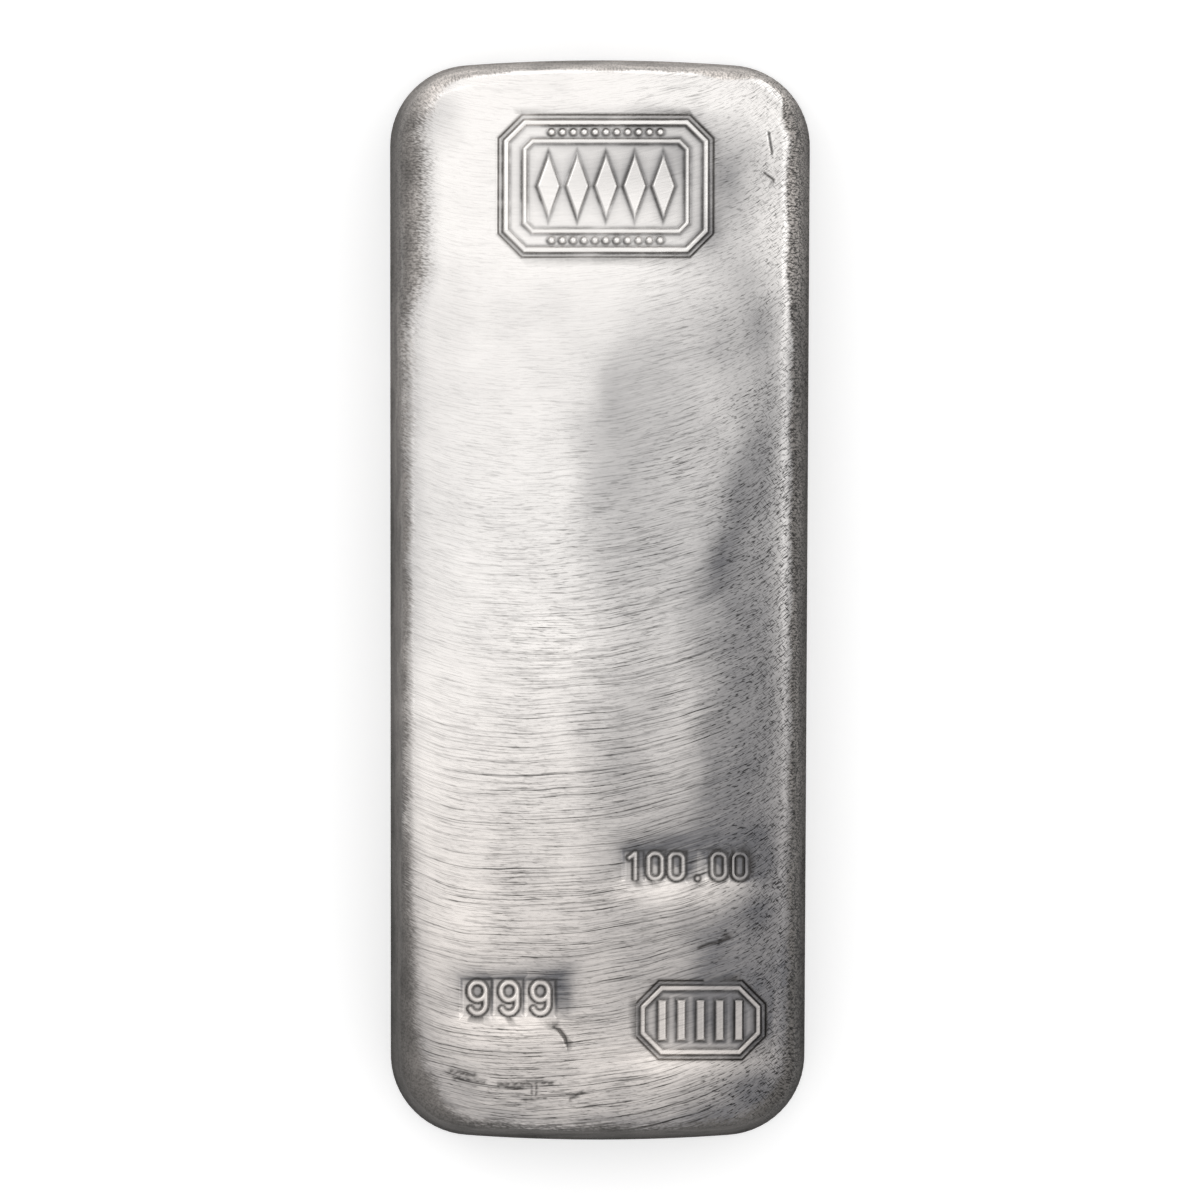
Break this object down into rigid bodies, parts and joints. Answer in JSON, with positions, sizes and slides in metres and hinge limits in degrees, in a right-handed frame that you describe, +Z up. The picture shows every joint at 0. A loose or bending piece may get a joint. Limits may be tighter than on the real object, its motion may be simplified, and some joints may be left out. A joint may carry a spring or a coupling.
{
  "type": "metal ingot",
  "caption": "Poured silver ingot: a drafted rectangular bar with rounded corners, bowed ends and shallow struck panels on its brushed face.",
  "frame": {"origin": "centre of the pour face, where the ingot meets the floor", "axes": "+Y along the length towards the wide end with the large stamp, +Z up out of the stamped face, +X to the right as the stamps are read"},
  "size_m": [0.07, 0.18, 0.0252],
  "materials": {
    "silver": "fine silver, brushed in arcs on the stamped face, dull grey on the cast sides"
  },
  "bodies": {
    "root": {"ingot": "silver"}
  },
  "joints": []
}
